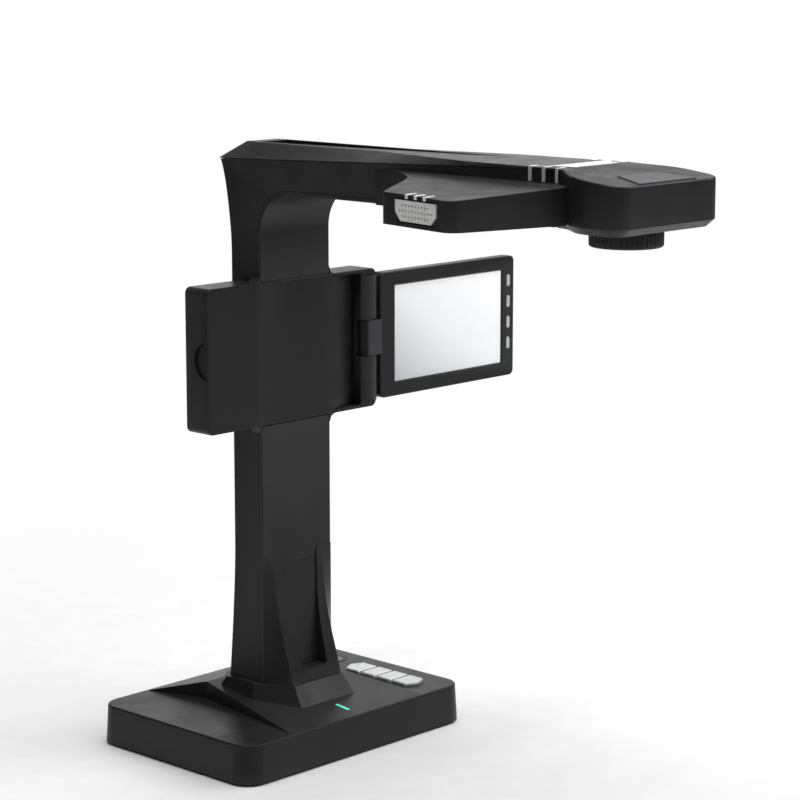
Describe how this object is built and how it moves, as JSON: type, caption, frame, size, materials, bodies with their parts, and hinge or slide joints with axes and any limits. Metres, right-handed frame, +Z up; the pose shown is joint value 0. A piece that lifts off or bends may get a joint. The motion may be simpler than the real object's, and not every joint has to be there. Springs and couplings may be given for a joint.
{
  "type": "book scanner",
  "caption": "Overhead book scanner: a weighted base with keys, a column with a fold-out screen, and a forward arm with light wings over a downward camera.",
  "frame": {"origin": "middle of the base's footprint, in the plane of the table that the feet rest on", "axes": "+Z up, -Y the way the camera arm reaches out over the page, +X the side that the screen folds out to"},
  "size_m": [0.324, 0.3885, 0.3933],
  "materials": {
    "aluminium": "satin",
    "base_plastic": "matte",
    "black_plastic": "satin",
    "circuit_board": "gloss",
    "diffuser": "satin",
    "display": "gloss",
    "green_light": "gloss",
    "hinge_plastic": "satin",
    "inlay": "satin",
    "lens_glass": "gloss",
    "lens_metal": "satin",
    "power_key": "satin",
    "ring_plastic": "matte",
    "rubber": "matte",
    "silver_key": "satin",
    "silver_trim": "satin",
    "socket_metal": "satin",
    "socket_plastic": "matte",
    "steel": "satin"
  },
  "bodies": {
    "stand": {"arm_beam": "aluminium", "arm_stripes": "silver_trim", "arm_top_cover": "black_plastic", "arm_top_plate": "silver_trim", "ballast_plate": "steel", "base_housing": "black_plastic", "base_plate": "base_plastic", "base_screws": "steel", "body_shell": "black_plastic", "camera_board": "circuit_board", "column_collar": "black_plastic", "column_spine": "steel", "dc_socket": "socket_plastic", "dock_back_cover": "black_plastic", "dock_housing": "black_plastic", "dock_screws": "steel", "front_cover": "black_plastic", "head_base": "black_plastic", "head_cover": "black_plastic", "head_inlay": "inlay", "head_screws": "steel", "hinge_pin": "steel", "key_board": "circuit_board", "lens_barrel": "lens_metal", "lens_glass": "lens_glass", "main_board": "circuit_board", "rubber_feet": "rubber", "status_light": "green_light", "usb_socket": "socket_metal", "wing_diffuser_left": "diffuser", "wing_diffuser_right": "diffuser", "wing_grille_left": "silver_trim", "wing_grille_right": "silver_trim", "wing_lamp_left": "circuit_board", "wing_lamp_right": "circuit_board", "wing_left": "black_plastic", "wing_right": "black_plastic", "wing_stripes": "silver_trim"},
    "screen": {"screen_bezel": "black_plastic", "screen_back": "black_plastic", "screen_panel": "display", "screen_board": "circuit_board", "hinge_block": "hinge_plastic"},
    "focus_ring": {"lens_ring": "ring_plastic"},
    "power_key": {"power_button": "power_key"},
    "base_key_body_1": {"base_key_1": "silver_key"},
    "screen_key_body_1": {"screen_key_1": "silver_key"},
    "base_key_body_2": {"base_key_2": "silver_key"},
    "screen_key_body_2": {"screen_key_2": "silver_key"},
    "base_key_body_3": {"base_key_3": "silver_key"},
    "screen_key_body_3": {"screen_key_3": "silver_key"},
    "base_key_body_4": {"base_key_4": "silver_key"},
    "screen_key_body_4": {"screen_key_4": "silver_key"}
  },
  "joints": [
    {"name": "screen_swing", "type": "hinge", "parent": "stand", "child": "screen", "pos_m": [0.0665, -0.0155, 0.2596], "axis": [0, 0, -1], "range_deg": [0, 180]},
    {"name": "focus_turn", "type": "hinge", "parent": "stand", "child": "focus_ring", "pos_m": [0, -0.2836, 0.3506], "axis": [0, 0, 1], "range_deg": [-60, 60]},
    {"name": "power_press", "type": "slide", "parent": "stand", "child": "power_key", "axis": [0, 0, -1], "range_m": [0, 0.0008], "stiffness_N_per_m": 900},
    {"name": "base_key_1_press", "type": "slide", "parent": "stand", "child": "base_key_body_1", "axis": [0, 0, -1], "range_m": [0, 0.0008], "stiffness_N_per_m": 900},
    {"name": "base_key_2_press", "type": "slide", "parent": "stand", "child": "base_key_body_2", "axis": [0, 0, -1], "range_m": [0, 0.0008], "stiffness_N_per_m": 900},
    {"name": "base_key_3_press", "type": "slide", "parent": "stand", "child": "base_key_body_3", "axis": [0, 0, -1], "range_m": [0, 0.0008], "stiffness_N_per_m": 900},
    {"name": "base_key_4_press", "type": "slide", "parent": "stand", "child": "base_key_body_4", "axis": [0, 0, -1], "range_m": [0, 0.0008], "stiffness_N_per_m": 900},
    {"name": "screen_key_1_press", "type": "slide", "parent": "screen", "child": "screen_key_body_1", "axis": [0, 1, 0], "range_m": [0, 0.0005], "stiffness_N_per_m": 700},
    {"name": "screen_key_2_press", "type": "slide", "parent": "screen", "child": "screen_key_body_2", "axis": [0, 1, 0], "range_m": [0, 0.0005], "stiffness_N_per_m": 700},
    {"name": "screen_key_3_press", "type": "slide", "parent": "screen", "child": "screen_key_body_3", "axis": [0, 1, 0], "range_m": [0, 0.0005], "stiffness_N_per_m": 700},
    {"name": "screen_key_4_press", "type": "slide", "parent": "screen", "child": "screen_key_body_4", "axis": [0, 1, 0], "range_m": [0, 0.0005], "stiffness_N_per_m": 700}
  ]
}
